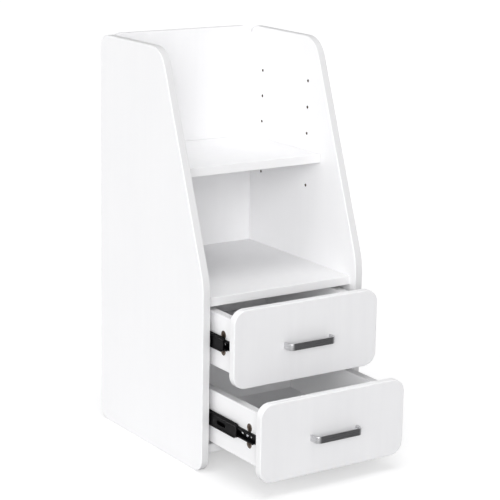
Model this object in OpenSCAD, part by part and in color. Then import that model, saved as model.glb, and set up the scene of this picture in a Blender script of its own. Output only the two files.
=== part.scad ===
// Two-drawer side cabinet with open shelves and sloping sides.
// +X right, +Y to the rear, +Z up, millimetres. The floor is z = 0.
// The origin is the middle of the box that holds the cabinet with its drawers open as set below.

/* [Case] */
// Overall width across the side boards
case_w = 348; // [280:1:460]
// Overall depth of the side boards
case_d = 368; // [300:1:480]
// Overall height of the side boards
case_h = 748; // [620:1:900]
// Thickness of the side boards, fixed shelf and bottom
board = 16; // [13:0.1:22]
// Thickness of the back board
back_t = 12; // [10:0.1:18]
// Depth left at the top of the side boards
top_d = 220; // [180:1:290]
// Height above the fixed shelf at which the front edge starts to slope
slope_rise = 29; // [10:1:60]
// Radius of the square corners of the side and back boards
corner_r = 25; // [5:1:40]
// Radius of the upper front corner of the side boards
crown_r = 50; // [10:1:60]
// Radius where the upright front edge turns into the slope
brow_r = 130; // [20:1:160]

/* [Adjustable shelf] */
// Depth of the adjustable shelf
shelf_d = 235; // [180:1:260]
// Thickness of the adjustable shelf
shelf_t = 16; // [12:0.1:22]
// Gap between the shelf and the boards around it
shelf_gap = 0.5; // [0.3:0.1:2]
// Height of the lowest pin row above the fixed shelf
pin_first = 145; // [100:1:200]
// Distance between pin rows
pin_pitch = 50; // [32:1:64]
// Row that carries the shelf, counted from 0 at the bottom
shelf_row = 1; // [0:1:1]
// Least height left above the highest pin row
pin_margin = 80; // [40:1:120]
// Distance of the rear pin column from the rear edge
pin_rear = 50; // [35:1:70]
// Distance between the two pin columns
pin_span = 152; // [96:1:170]
// Diameter of a shelf pin
pin_dia = 5; // [4:0.1:7]
// Length of a shelf pin
pin_len = 16; // [12:1:20]

/* [Drawers] */
// Height of a drawer front
front_h = 143; // [119:1:180]
// Thickness of a drawer front
front_t = 16; // [13:0.1:22]
// Corner radius of a drawer front
front_r = 25; // [5:1:40]
// Gap beside a drawer front
side_gap = 3; // [1:0.1:6]
// Gap above each drawer front
front_gap = 2.5; // [1:0.1:6]
// Height of the lowest front above the floor
floor_gap = 28; // [15:1:60]
// Height of the drawer box above the lower edge of its front
box_lift = 24; // [18:1:40]
// Distance from the top of the front down to the box
box_drop = 20.5; // [10:0.5:30]
// Thickness of the drawer box boards
box_t = 16; // [12:0.1:18]
// Thickness of the drawer bottom
base_t = 3; // [2.5:0.1:6]
// Height of the drawer bottom above the lower edge of the box
base_lift = 12; // [8:1:16]
// How far the upper drawer stands open
upper_open = 72.6; // [0:0.1:140]
// How far the lower drawer stands open
lower_open = 159.5; // [0:0.1:200]

/* [Handles] */
// Distance between the handle screws
handle_centres = 96; // [64:1:160]
// Height of the handle bar
handle_h = 12; // [8:0.5:18]
// How far the handle stands out
handle_reach = 21; // [18:0.5:35]
// Thickness of the bar
bar_t = 3.5; // [3:0.1:6]
// Thickness of the handle legs
leg_t = 5; // [5:0.1:8]
// Outer bend radius of the handle
bend_r = 11; // [6:0.5:15]
// Distance of the handle below the middle of the front
handle_low = 4; // [0:1:20]

/* [Slides] */
// Space that a slide takes between the case and the drawer box
slide_t = 12.7; // [12.7:0.1:14]
// Half height of the case member
outer_half = 17.6; // [17:0.1:20]
// Ball diameter
ball_dia = 4; // [3.6:0.1:4.2]
// Balls along each race of a cage
ball_count = 5; // [3:1:7]
// Length of a ball cage
cage_len = 70; // [60:1:90]
// Set-back of the drawer member behind the drawer front
member_set = 10; // [5:1:20]
// Middle member travel for each unit of upper drawer travel
upper_share = 0.75; // [0.5:0.01:0.8]
// Middle member travel for each unit of lower drawer travel
lower_share = 0.63; // [0.5:0.01:0.8]

/* [Fasteners] */
// Diameter of a cam lock
cam_dia = 15; // [12:0.5:16]
// Distance of a cam lock from the board's end
cam_reach = 33.5; // [24:0.5:36]
// Height between the two cam locks of a drawer side and its middle
cam_rise = 15; // [12.5:0.5:18]
// Diameter of a cam lock in the thin back board
back_cam_dia = 12; // [10:0.5:15]
// Diameter of a wood dowel
dowel_dia = 8; // [6:0.5:8]
// Length of a wood dowel
dowel_len = 30; // [25:1:35]
// Shank diameter of the wood screws
screw_dia = 3.5; // [3:0.1:4]

/* [Hidden] */

eps = 0.01;
fit = 0.05;
arc_steps = 20;
round_fn = 32;
ball_fn = 24;

// Places of the case boards
case_y = (lower_open + handle_reach) / 2;
front_y = case_y - case_d / 2;
rear_y = case_y + case_d / 2;
inner_w = case_w - 2 * board;
inner_x = inner_w / 2;
back_y = rear_y - back_t;
edge_gap = 1.5;
edge_y = front_y + front_t + edge_gap;
bottom_z = floor_gap + edge_gap;
fixed_top = floor_gap + 2 * (front_h + front_gap);
fixed_z = fixed_top - board;
slope_z = fixed_top + slope_rise;
lower_z = floor_gap;
upper_z = floor_gap + front_h + front_gap;

// Shelf pins and their rows
pin_r = pin_dia / 2;
pin_in = 9;
pin_flat = 1.5;
pin_z0 = fixed_top + pin_first;
pin_rows = floor((case_h - pin_margin - pin_z0) / pin_pitch) + 1;
pin_ys = [rear_y - pin_rear, rear_y - pin_rear - pin_span];
shelf_z = pin_z0 + shelf_row * pin_pitch + pin_flat;

// Drawer boxes, given in the closed place
closed_y = front_y + front_t;
front_w = inner_w - 2 * side_gap;
box_w = inner_w - 2 * slide_t;
box_x = box_w / 2;
box_h = front_h - box_lift - box_drop;
rear_room = 22;
rail_step = 50;
rail_len = rail_step * floor((back_y - edge_y - rear_room) / rail_step);
rail_y = closed_y + edge_gap;
box_over = 18;
box_len = rail_len + box_over;
box_end = closed_y + box_len;
groove = 6;
groove_gap = 0.1;
corner_gap = 0.2;

// Slide sections, measured from the case side (u) and from the middle height (v)
web = 1.2;
air = 0.3;
cage_t = 0.5;
ball_r = ball_dia / 2;
race_r = ball_r + fit;
rim = cage_t / 2 + air;
race_wall = 0.9;
mid_half = outer_half - 4.4;
outer_v = mid_half + rim;
inner_v = outer_v - 2 * race_r - race_wall;
inner_half = inner_v - rim;
outer_u = 6;
inner_u = 7.2;
outer_tip = 9;
mid_u = web + 2 * air + cage_t;
mid_tip = 9.6;
inner_web_u = slide_t - web;
inner_tip = mid_u + web + 2 * air + cage_t;
chamfer_y = 7.5;
chamfer_z = 4.5;
case_holes = [37, rail_len / 2, rail_len - 40];
member_holes = [16.5, 27, 42, 80];
member_screws = [27, 80, rail_len - 50];

// Cam locks, bolts, dowels and screws
cam_r = cam_dia / 2;
back_cam_r = back_cam_dia / 2;
cam_below = 4.5;
cam_sunk = 0.3;
bolt_r = 2.5;
bolt_head_r = 3.4;
bolt_grip = 11;
dowel_r = dowel_dia / 2;
screw_r = screw_dia / 2;
screw_head_r = 3.2;
screw_in = 12;
long_screw = 38;
shelf_cam_inset = 60;
shelf_dowel_offset = 40;
back_cam_zs = [110, 400, 690];
back_dowel_zs = [200, 560];
handle_screw_r = 2;

// ---------------------------------------------------------------- helpers

function unit(v) = v / norm(v);

// Points of an arc about c from angle a0 to a1
function arc_points(c, r, a0, a1) =
    [for (i = [0:arc_steps]) c + r * [cos(a0 + (a1 - a0) * i / arc_steps),
                                      sin(a0 + (a1 - a0) * i / arc_steps)]];

// One corner of an outline: its points once it is rounded to radius r
function corner_points(before, corner, after, r) =
    let (u = unit(before - corner),
         w = unit(after - corner),
         half = acos(u * w) / 2,
         c = corner + unit(u + w) * r / sin(half),
         s = corner + u * r / tan(half) - c,
         e = corner + w * r / tan(half) - c,
         a0 = atan2(s[1], s[0]),
         turn = atan2(e[1], e[0]) - a0,
         sweep = turn > 180 ? turn - 360 : turn < -180 ? turn + 360 : turn)
    arc_points(c, r, a0, a0 + sweep);

// A whole outline with a radius for each corner, 0 where it stays sharp
function rounded(points, radii) =
    let (n = len(points))
    [for (i = [0:n - 1])
        each (radii[i] > 0
            ? corner_points(points[(i + n - 1) % n], points[i], points[(i + 1) % n], radii[i])
            : [points[i]])];

function rounded_rect(w, h, r_low, r_top) =
    rounded([[-w / 2, 0], [w / 2, 0], [w / 2, h], [-w / 2, h]], [r_low, r_low, r_top, r_top]);

module mirrored() {
    mirror([1, 0, 0]) children();
}

module both_sides() {
    children();
    mirrored() children();
}

module x_bore(r, length) {
    rotate([0, 90, 0]) cylinder(r = r, h = length, $fn = round_fn);
}

module y_bore(r, length) {
    rotate([-90, 0, 0]) cylinder(r = r, h = length, $fn = round_fn);
}

module block(x0, x1, y0, y1, z0, z1) {
    translate([x0, y0, z0]) cube([x1 - x0, y1 - y0, z1 - z0]);
}

// ---------------------------------------------------------------- cam locks
// The lock's face is the plane z = 0 and the bolt comes in along +X, from the board's end.

module lock_hole(r, thick, reach) {
    translate([0, 0, -thick / 2 - cam_below])
        cylinder(r = r, h = thick / 2 + cam_below + eps, $fn = round_fn);
    translate([0, 0, -thick / 2]) x_bore(bolt_head_r + 2 * fit, reach + eps);
}

module lock_body(r, thick) {
    depth = thick / 2 + cam_below;
    cross_l = r;
    cross_w = 2;
    cross_d = 2.5;
    difference() {
        translate([0, 0, -depth + fit])
            cylinder(r = r - fit, h = depth - cam_sunk - fit, $fn = round_fn);
        translate([0, 0, -thick / 2]) x_bore(bolt_head_r + 2 * fit, r + eps);
        translate([0, 0, -thick / 2]) sphere(r = bolt_head_r + 2 * fit, $fn = ball_fn);
        for (turn = [45, 135])
            rotate([0, 0, turn])
                translate([-cross_l / 2, -cross_w / 2, -cam_sunk - cross_d])
                    cube([cross_l, cross_w, cross_d + eps]);
    }
}

module lock_bolt(thick, reach) {
    head_l = 3;
    translate([0, 0, -thick / 2]) {
        translate([-head_l / 2, 0, 0]) x_bore(bolt_head_r - 1, head_l);
        translate([head_l / 2 - eps, 0, 0]) x_bore(bolt_r - 1, reach - head_l);
        translate([reach - head_l / 2 - 2 * eps, 0, 0]) x_bore(bolt_r, bolt_grip + head_l / 2);
    }
}

module bolt_hole(thick, reach) {
    translate([reach - eps, 0, -thick / 2]) x_bore(bolt_r + fit, bolt_grip + eps);
}

// ---------------------------------------------------------------- screws
// A screw's head is flush with z = 0 and its shank goes down.

module flat_screw(length) {
    translate([0, 0, -screw_head_r + screw_r - eps])
        cylinder(r1 = screw_r, r2 = screw_head_r, h = screw_head_r - screw_r + eps, $fn = round_fn);
    translate([0, 0, -length]) cylinder(r = screw_r, h = length, $fn = round_fn);
}

module flat_screw_hole(length) {
    translate([0, 0, -screw_head_r + screw_r])
        cylinder(r1 = screw_r + fit, r2 = screw_head_r + fit, h = screw_head_r - screw_r + eps,
                 $fn = round_fn);
    translate([0, 0, -length - fit])
        cylinder(r = screw_r + fit, h = length + 2 * fit, $fn = round_fn);
}

module pan_screw(length) {
    head_h = 1.6;
    cylinder(r = screw_head_r - 0.2, h = head_h, $fn = round_fn);
    translate([0, 0, -length]) cylinder(r = screw_r, h = length + eps, $fn = round_fn);
}

// ---------------------------------------------------------------- places in the case, right side

module at_board_locks() {
    for (z = [bottom_z, fixed_z], y = [edge_y + shelf_cam_inset, back_y - shelf_cam_inset])
        translate([inner_x - cam_reach, y, z]) rotate([180, 0, 0]) children();
}

module at_back_locks() {
    for (z = back_cam_zs)
        if (z < case_h - corner_r && abs(z - fixed_z - board / 2) > 2 * cam_dia)
            translate([inner_x - cam_reach, rear_y, z]) rotate([-90, 0, 0]) children();
}

module at_board_dowels() {
    for (z = [bottom_z, fixed_z])
        translate([inner_x, (edge_y + back_y) / 2 + shelf_dowel_offset, z + board / 2]) children();
}

module at_back_dowels() {
    for (z = back_dowel_zs)
        if (z < case_h - corner_r)
            translate([inner_x, back_y + back_t / 2, z]) children();
}

module at_pin_holes() {
    for (row = [0:pin_rows - 1], y = pin_ys)
        translate([inner_x, y, pin_z0 + row * pin_pitch]) children();
}

module at_rail_screws(z) {
    for (hole = case_holes)
        translate([inner_x - web, rail_y + hole, slide_z(z)]) rotate([0, -90, 0]) children();
}

module at_back_screws() {
    for (x = [-inner_x / 2, 0, inner_x / 2], z = [bottom_z, fixed_z])
        translate([x, rear_y, z + board / 2]) rotate([-90, 0, 0]) children();
}

function slide_z(z) = z + box_lift + box_h / 2;

// ---------------------------------------------------------------- case boards

module side_board() {
    outline = rounded(
        [[front_y, 0], [rear_y, 0], [rear_y, case_h], [rear_y - top_d, case_h], [front_y, slope_z]],
        [corner_r, corner_r, corner_r, crown_r, brow_r]);
    back_dowel_r = min(dowel_r, back_t / 2 - 2);
    color("white")
    difference() {
        translate([inner_x, 0, 0])
            rotate([90, 0, 90]) linear_extrude(board) polygon(outline);
        at_pin_holes() translate([-eps, 0, 0]) x_bore(pin_r + fit, pin_in);
        at_board_locks() bolt_hole(board, cam_reach);
        at_back_locks() bolt_hole(back_t, cam_reach);
        at_board_dowels() translate([-eps, 0, 0]) x_bore(dowel_r + fit, dowel_len / 3 + 1);
        at_back_dowels() translate([-eps, 0, 0]) x_bore(back_dowel_r + fit, dowel_len / 3 + 1);
        for (z = [lower_z, upper_z]) at_rail_screws(z) flat_screw_hole(screw_in);
    }
}

module side_right() side_board();
module side_left() mirrored() side_board();

module back_panel() {
    back_dowel_r = min(dowel_r, back_t / 2 - 2);
    color("white")
    difference() {
        translate([0, rear_y, bottom_z])
            rotate([90, 0, 0])
                linear_extrude(back_t) polygon(rounded_rect(inner_w, case_h - bottom_z, 0, corner_r));
        both_sides() {
            at_back_locks() lock_hole(back_cam_r, back_t, cam_reach);
            at_back_dowels() translate([-dowel_len * 2 / 3 - 1, 0, 0])
                x_bore(back_dowel_r + fit, dowel_len * 2 / 3 + 2);
        }
        at_back_screws() flat_screw_hole(long_screw);
    }
}

module case_shelf(z) {
    color("white")
    difference() {
        block(-inner_x, inner_x, edge_y, back_y, z, z + board);
        both_sides() {
            at_board_locks() lock_hole(cam_r, board, cam_reach);
            at_board_dowels() translate([-dowel_len * 2 / 3 - 1, 0, 0])
                x_bore(dowel_r + fit, dowel_len * 2 / 3 + 2);
        }
        at_back_screws() flat_screw_hole(long_screw);
    }
}

module fixed_shelf() case_shelf(fixed_z);
module bottom_panel() case_shelf(bottom_z);

module adjustable_shelf() {
    x = inner_x - shelf_gap;
    y1 = back_y - shelf_gap;
    color("white") block(-x, x, y1 - shelf_d, y1, shelf_z, shelf_z + shelf_t);
}

module shelf_pins() {
    out = pin_len - pin_in + 1;
    color("silver")
    both_sides()
        for (y = pin_ys)
            translate([inner_x, y, shelf_z - pin_flat])
                difference() {
                    translate([-out, 0, 0]) x_bore(pin_r, pin_len);
                    translate([-out - eps, -pin_r, pin_flat]) cube([out + eps, pin_dia, pin_r]);
                }
}

module case_cam_locks() {
    color("dimgray")
    both_sides() {
        at_board_locks() lock_body(cam_r, board);
        at_back_locks() lock_body(back_cam_r, back_t);
    }
}

module case_cam_bolts() {
    color("silver")
    both_sides() {
        at_board_locks() lock_bolt(board, cam_reach);
        at_back_locks() lock_bolt(back_t, cam_reach);
    }
}

module case_dowels() {
    back_dowel_r = min(dowel_r, back_t / 2 - 2);
    color("burlywood")
    both_sides() {
        at_board_dowels() translate([-dowel_len * 2 / 3, 0, 0]) x_bore(dowel_r, dowel_len);
        at_back_dowels() translate([-dowel_len * 2 / 3, 0, 0]) x_bore(back_dowel_r, dowel_len);
    }
}

module back_screws() {
    color("silver") at_back_screws() flat_screw(long_screw);
}

// ---------------------------------------------------------------- slide sections

// A channel with a ball race in each flange
module channel(u0, u1, web_u, half, rim_in, race_u, race_v) {
    difference() {
        union() {
            translate([web_u, -half]) square([web, 2 * half]);
            for (s = [1, -1])
                translate([u0, s > 0 ? rim_in : -half]) square([u1 - u0, half - rim_in]);
        }
        for (s = [1, -1])
            translate([race_u, s * race_v]) circle(r = race_r, $fn = round_fn);
    }
}

module case_section() {
    channel(0, outer_tip, 0, outer_half, outer_v + rim, outer_u, outer_v);
}

module mid_section() {
    difference() {
        channel(mid_u, mid_tip, mid_u, mid_half, inner_v + rim, outer_u, outer_v);
        for (s = [1, -1])
            translate([inner_u, s * inner_v]) circle(r = race_r, $fn = round_fn);
    }
}

module drawer_section() {
    channel(inner_tip, slide_t, inner_web_u, inner_half, inner_half - 2.3, inner_u, inner_v);
}

// A section runs to the rear from y = start, against the right case side
module run(start, length, z) {
    translate([inner_x, start + length, z])
        rotate([90, 0, 0]) linear_extrude(length) mirror([1, 0]) children();
}

module case_rail(z) {
    color("#202224")
    difference() {
        run(rail_y, rail_len, slide_z(z)) case_section();
        at_rail_screws(z) flat_screw_hole(screw_in);
    }
}

module mid_rail(z, open, share) {
    start = rail_y - open * share;
    zc = slide_z(z);
    slot_y = 35;
    slot_l = 28;
    slot_h = 8;
    color("#202224")
    difference() {
        run(start, rail_len, zc) mid_section();
        for (s = [1, -1])
            translate([inner_x - mid_tip - 1, start, zc + s * mid_half])
                rotate([90, 0, 90]) linear_extrude(mid_tip + 1)
                    polygon([[-eps, s * eps], [chamfer_y, s * eps], [-eps, -s * chamfer_z]]);
        for (end = [slot_h / 2, slot_l - slot_h / 2])
            translate([inner_x - mid_u - web - eps, start + slot_y + end, zc])
                x_bore(slot_h / 2, web + 2 * eps);
        translate([inner_x - mid_u - web - eps, start + slot_y + slot_h / 2, zc - slot_h / 2])
            cube([web + 2 * eps, slot_l - slot_h, slot_h]);
    }
}

// Drawer member, in the closed place
module drawer_rail(z) {
    start = closed_y + member_set;
    zc = slide_z(z);
    slot_half = 3;
    hole_r = 2.2;
    color("#202224")
    difference() {
        run(start, rail_len, zc) drawer_section();
        for (hole = member_screws)
            translate([inner_x - slide_t - eps, start + hole, zc]) x_bore(screw_r + fit, web + 2 * eps);
        translate([inner_x - slide_t - eps, start + member_holes[0], zc])
            x_bore(hole_r, web + 2 * eps);
        for (s = [0, 1])
            translate([inner_x - slide_t - eps, start + member_holes[2] + s * slot_half, zc])
                x_bore(hole_r, web + 2 * eps);
    }
}

module at_member_screws(z) {
    for (hole = member_screws)
        translate([inner_x - inner_web_u, closed_y + member_set + hole, slide_z(z)])
            rotate([0, 90, 0]) children();
}

// Two strips with ball holes, joined by a thin web
module cage(start, u0, u1, race_u, race_v, z) {
    pitch = cage_len / ball_count;
    difference() {
        run(start, cage_len, z) {
            translate([u0, -race_v]) square([cage_t, 2 * race_v]);
            for (s = [1, -1])
                translate([u0, s * race_v - cage_t / 2]) square([u1 - u0, cage_t]);
        }
        for (i = [0:ball_count - 1])
            translate([inner_x - race_u, start + pitch * (i + 0.5), z - race_v - 1])
                cylinder(r = race_r, h = 2 * race_v + 2, $fn = round_fn);
    }
}

module race_balls(start, race_u, race_v, z) {
    pitch = cage_len / ball_count;
    for (i = [0:ball_count - 1], s = [1, -1])
        translate([inner_x - race_u, start + pitch * (i + 0.5), z + s * race_v])
            sphere(r = ball_r, $fn = ball_fn);
}

function cage_y(open, share) = rail_y + (rail_len - cage_len) / 2 - open * share;

module outer_cages(z, open, share) {
    color("#c8b070")
    both_sides()
        cage(cage_y(open, share / 2), web + air, outer_tip - 0.4, outer_u, outer_v, slide_z(z));
}

module outer_balls(z, open, share) {
    color("silver")
    both_sides() race_balls(cage_y(open, share / 2), outer_u, outer_v, slide_z(z));
}

module inner_cages(z, open, share) {
    color("#c8b070")
    both_sides()
        cage(cage_y(open, (1 + share) / 2), mid_u + web + air, inner_web_u - 0.6,
             inner_u, inner_v, slide_z(z));
}

module inner_balls(z, open, share) {
    color("silver")
    both_sides() race_balls(cage_y(open, (1 + share) / 2), inner_u, inner_v, slide_z(z));
}

// ---------------------------------------------------------------- drawers, in the closed place

module at_box_locks(z) {
    for (s = [1, -1])
        translate([box_x, closed_y + cam_reach, slide_z(z) + s * cam_rise])
            rotate([-90, 0, 0]) rotate([0, 90, 0]) children();
}

module at_box_dowel(z) {
    translate([box_x - box_t / 2, closed_y, slide_z(z)]) children();
}

module at_box_screws(z) {
    screw_rise = box_h / 3;
    for (s = [1, -1])
        translate([box_x, box_end - box_t / 2, slide_z(z) + s * screw_rise])
            rotate([0, 90, 0]) children();
}

module at_handle_screws(z) {
    translate([handle_centres / 2, closed_y, z + front_h / 2 - handle_low]) children();
}

module drawer_front(z) {
    base_z = z + box_lift + base_lift;
    base_x = box_x - box_t + groove;
    color("white")
    difference() {
        translate([0, closed_y, z])
            rotate([90, 0, 0])
                linear_extrude(front_t) polygon(rounded_rect(front_w, front_h, front_r, front_r));
        block(-base_x, base_x, closed_y - groove, closed_y + eps,
              base_z - groove_gap, base_z + base_t + groove_gap);
        both_sides() {
            at_box_locks(z) bolt_hole(box_t, cam_reach);
            at_box_dowel(z) translate([0, -dowel_len / 3 - 1, 0])
                y_bore(dowel_r + fit, dowel_len / 3 + 1 + eps);
            at_handle_screws(z) translate([0, -front_t - eps, 0])
                y_bore(handle_screw_r + fit, front_t + 2 * eps);
        }
    }
}

module box_side(z) {
    base_z = z + box_lift + base_lift;
    color("white")
    difference() {
        block(box_x - box_t, box_x, closed_y, box_end, z + box_lift, z + box_lift + box_h);
        block(box_x - box_t - eps, box_x - box_t + groove, closed_y - eps, box_end - box_t / 2,
              base_z - groove_gap, base_z + base_t + groove_gap);
        at_box_locks(z) lock_hole(cam_r, box_t, cam_reach);
        at_box_dowel(z) translate([0, -eps, 0]) y_bore(dowel_r + fit, dowel_len * 2 / 3 + 1);
        at_box_screws(z) flat_screw_hole(long_screw);
        at_member_screws(z) translate([0, 0, -screw_in - web - fit])
            cylinder(r = screw_r + fit, h = screw_in + web + 2 * fit, $fn = round_fn);
    }
}

module box_back(z) {
    base_z = z + box_lift + base_lift;
    x = box_x - box_t;
    color("white")
    difference() {
        block(-x, x, box_end - box_t, box_end, z + box_lift, z + box_lift + box_h);
        block(-x - eps, x + eps, box_end - box_t - eps, box_end - box_t + groove,
              base_z - groove_gap, base_z + base_t + groove_gap);
        both_sides() at_box_screws(z) flat_screw_hole(long_screw);
    }
}

module box_base(z) {
    base_z = z + box_lift + base_lift;
    x = box_x - box_t + groove - corner_gap;
    color("whitesmoke")
        block(-x, x, closed_y - groove + corner_gap, box_end - box_t + groove - corner_gap,
              base_z, base_z + base_t);
}

module handle(z) {
    a = handle_centres / 2 + leg_t / 2;
    p = handle_reach;
    pad_grow = 0.7;
    pad_t = 1.5;
    tap = 10;
    outline = rounded(
        [[-a, 0], [-a, -p], [a, -p], [a, 0], [a - leg_t, 0], [a - leg_t, bar_t - p],
         [leg_t - a, bar_t - p], [leg_t - a, 0]],
        [0, bend_r, bend_r, 0, 0, bend_r - leg_t, bend_r - leg_t, 0]);
    color("#8d9094")
    translate([0, front_y, z + front_h / 2 - handle_low])
        difference() {
            union() {
                translate([0, 0, -handle_h / 2]) linear_extrude(handle_h) polygon(outline);
                both_sides()
                    block(a - leg_t - pad_grow, a + pad_grow, -pad_t, 0,
                          -handle_h / 2, handle_h / 2);
            }
            both_sides()
                translate([handle_centres / 2, -tap, 0]) y_bore(handle_screw_r + fit, tap + eps);
        }
}

module handle_screws(z) {
    head_r = 4;
    head_h = 2.2;
    grip = 9;
    color("silver")
    both_sides()
        at_handle_screws(z) {
            y_bore(head_r, head_h);
            translate([0, -front_t - grip, 0]) y_bore(handle_screw_r, front_t + grip + eps);
        }
}

module box_cam_locks(z) {
    color("#6b5d50") both_sides() at_box_locks(z) lock_body(cam_r, box_t);
}

module box_cam_bolts(z) {
    color("silver") both_sides() at_box_locks(z) lock_bolt(box_t, cam_reach);
}

module box_dowels(z) {
    color("burlywood")
    both_sides()
        at_box_dowel(z) translate([0, -dowel_len / 3, 0]) y_bore(dowel_r, dowel_len);
}

module box_screws(z) {
    color("silver") both_sides() at_box_screws(z) flat_screw(long_screw);
}

module rail_screws(z) {
    color("silver")
    both_sides() at_member_screws(z) pan_screw(screw_in + web);
}

module upper_place() {
    translate([0, -upper_open, 0]) children();
}

module lower_place() {
    translate([0, -lower_open, 0]) children();
}

module case_rail_screws() {
    color("silver")
    both_sides()
        for (z = [lower_z, upper_z]) at_rail_screws(z) flat_screw(screw_in);
}

// ---------------------------------------------------------------- nodes

side_left();
side_right();
back_panel();
fixed_shelf();
bottom_panel();
shelf_pins();
case_cam_locks();
case_cam_bolts();
case_dowels();
back_screws();
mirrored() case_rail(upper_z);  // upper_case_rail_left
case_rail(upper_z);  // upper_case_rail_right
mirrored() case_rail(lower_z);  // lower_case_rail_left
case_rail(lower_z);  // lower_case_rail_right
case_rail_screws();
adjustable_shelf();

upper_place() drawer_front(upper_z);  // upper_front
upper_place() mirrored() box_side(upper_z);  // upper_box_left
upper_place() box_side(upper_z);  // upper_box_right
upper_place() box_back(upper_z);  // upper_box_back
upper_place() box_base(upper_z);  // upper_box_base
upper_place() handle(upper_z);  // upper_handle
upper_place() handle_screws(upper_z);  // upper_handle_screws
upper_place() box_cam_locks(upper_z);  // upper_cam_locks
upper_place() box_cam_bolts(upper_z);  // upper_cam_bolts
upper_place() box_dowels(upper_z);  // upper_dowels
upper_place() box_screws(upper_z);  // upper_box_screws
upper_place() mirrored() drawer_rail(upper_z);  // upper_drawer_rail_left
upper_place() drawer_rail(upper_z);  // upper_drawer_rail_right
upper_place() rail_screws(upper_z);  // upper_rail_screws

lower_place() drawer_front(lower_z);  // lower_front
lower_place() mirrored() box_side(lower_z);  // lower_box_left
lower_place() box_side(lower_z);  // lower_box_right
lower_place() box_back(lower_z);  // lower_box_back
lower_place() box_base(lower_z);  // lower_box_base
lower_place() handle(lower_z);  // lower_handle
lower_place() handle_screws(lower_z);  // lower_handle_screws
lower_place() box_cam_locks(lower_z);  // lower_cam_locks
lower_place() box_cam_bolts(lower_z);  // lower_cam_bolts
lower_place() box_dowels(lower_z);  // lower_dowels
lower_place() box_screws(lower_z);  // lower_box_screws
lower_place() mirrored() drawer_rail(lower_z);  // lower_drawer_rail_left
lower_place() drawer_rail(lower_z);  // lower_drawer_rail_right
lower_place() rail_screws(lower_z);  // lower_rail_screws

mirrored() mid_rail(upper_z, upper_open, upper_share);  // upper_mid_rail_left
mid_rail(upper_z, upper_open, upper_share);  // upper_mid_rail_right
mirrored() mid_rail(lower_z, lower_open, lower_share);  // lower_mid_rail_left
mid_rail(lower_z, lower_open, lower_share);  // lower_mid_rail_right
outer_cages(upper_z, upper_open, upper_share);  // upper_outer_cages
outer_balls(upper_z, upper_open, upper_share);  // upper_outer_balls
inner_cages(upper_z, upper_open, upper_share);  // upper_inner_cages
inner_balls(upper_z, upper_open, upper_share);  // upper_inner_balls
outer_cages(lower_z, lower_open, lower_share);  // lower_outer_cages
outer_balls(lower_z, lower_open, lower_share);  // lower_outer_balls
inner_cages(lower_z, lower_open, lower_share);  // lower_inner_cages
inner_balls(lower_z, lower_open, lower_share);  // lower_inner_balls
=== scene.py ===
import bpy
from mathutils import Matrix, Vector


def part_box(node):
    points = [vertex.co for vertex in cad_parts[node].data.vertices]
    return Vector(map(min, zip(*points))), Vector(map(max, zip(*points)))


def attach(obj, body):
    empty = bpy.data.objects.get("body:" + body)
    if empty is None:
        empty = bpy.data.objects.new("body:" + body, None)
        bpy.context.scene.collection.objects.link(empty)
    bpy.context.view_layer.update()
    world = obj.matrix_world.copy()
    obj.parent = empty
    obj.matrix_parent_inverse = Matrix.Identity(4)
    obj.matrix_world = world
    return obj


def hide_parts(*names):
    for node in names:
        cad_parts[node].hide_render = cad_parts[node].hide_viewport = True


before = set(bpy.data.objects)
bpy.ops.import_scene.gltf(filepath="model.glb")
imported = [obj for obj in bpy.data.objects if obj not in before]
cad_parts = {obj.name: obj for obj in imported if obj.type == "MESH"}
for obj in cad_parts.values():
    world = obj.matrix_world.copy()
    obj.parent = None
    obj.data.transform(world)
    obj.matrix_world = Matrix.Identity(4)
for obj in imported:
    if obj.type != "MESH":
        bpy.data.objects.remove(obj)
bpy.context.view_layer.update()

import math

import bmesh
import bpy
from mathutils import Matrix, Vector

# ---------------------------------------------------------------- studio
# A white product studio: a seamless white floor, a white surround, a broad lamp beside the camera, one
# overhead and a weaker one on the left. The camera stands left of the cabinet, looking slightly down.

case_low, case_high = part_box("side_left")
case_mid_y = (case_low.y + case_high.y) / 2
scene = bpy.context.scene

camera_turn = math.radians(-33.77)
camera_rise = math.radians(13.99)
camera_roll = math.radians(1.01)
camera_place = Vector((-1.77086, case_mid_y - 2.71673, 1.1609))
camera_lens = 128.05

back = Vector((math.sin(camera_turn) * math.cos(camera_rise),
               -math.cos(camera_turn) * math.cos(camera_rise),
               math.sin(camera_rise)))
right = (-back).cross(Vector((0, 0, 1))).normalized()
up = right.cross(-back)
cos_roll, sin_roll = math.cos(camera_roll), math.sin(camera_roll)
right, up = cos_roll * right + sin_roll * up, cos_roll * up - sin_roll * right

camera = bpy.data.objects.new("camera", bpy.data.cameras.new("camera"))
camera.data.sensor_width = 36
camera.data.lens = camera_lens
camera.data.clip_end = 200
camera.matrix_world = (Matrix.Translation(camera_place)
                       @ Matrix((right, up, back)).transposed().to_4x4())
scene.collection.objects.link(camera)
scene.camera = camera
scene.view_settings.view_transform = "Standard"

# The surround is seen as white, and lights the cabinet only a little, so that the lamps shape it.
surround_seen, surround_light = 1.0, 0.42
world = bpy.data.worlds.new("studio")
world.use_nodes = True
nodes, links = world.node_tree.nodes, world.node_tree.links
surround = nodes["Background"]
surround.inputs["Color"].default_value = (1.0, 1.0, 1.0, 1)
seen = nodes.new("ShaderNodeLightPath")
level = nodes.new("ShaderNodeMapRange")
level.inputs["To Min"].default_value = surround_light
level.inputs["To Max"].default_value = surround_seen
links.new(seen.outputs["Is Camera Ray"], level.inputs["Value"])
links.new(level.outputs["Result"], surround.inputs["Strength"])
scene.world = world


def studio_sun(name, towards, strength, softness):
    """A far, broad light that shines along towards."""
    lamp = bpy.data.lights.new(name, "SUN")
    lamp.energy = strength
    lamp.angle = math.radians(softness)
    holder = bpy.data.objects.new(name, lamp)
    holder.rotation_euler = Vector(towards).to_track_quat("-Z", "Y").to_euler()
    scene.collection.objects.link(holder)


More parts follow.
